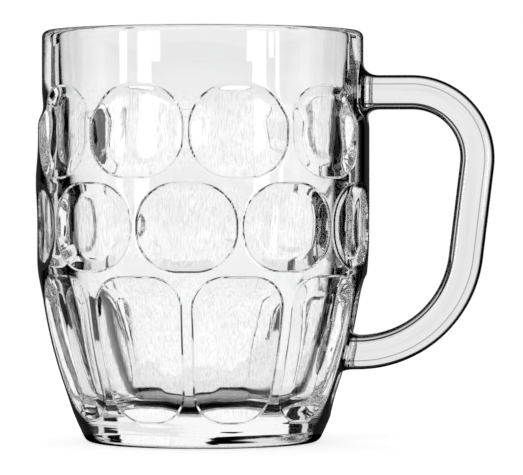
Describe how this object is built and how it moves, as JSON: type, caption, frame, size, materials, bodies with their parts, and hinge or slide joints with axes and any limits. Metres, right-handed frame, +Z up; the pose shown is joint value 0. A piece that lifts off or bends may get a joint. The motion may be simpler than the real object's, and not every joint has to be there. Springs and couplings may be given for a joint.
{
  "type": "glass beer mug",
  "caption": "Thick clear glass beer mug with rows of pressed dimples round a barrel-shaped bowl, a plain rim band and a bent bar handle welded to its side.",
  "frame": {"origin": "on the bowl's axis, at the plane of the ring that it stands on", "axes": "+Z up along the bowl's axis, +X from the axis towards the handle"},
  "size_m": [0.1417, 0.1032, 0.127],
  "materials": {
    "bowl_glass": "fire-polished clear pressed glass",
    "handle_glass": "fire-polished clear drawn glass"
  },
  "bodies": {
    "root": {"dimpled_bowl": "bowl_glass", "handle": "handle_glass"}
  },
  "joints": []
}
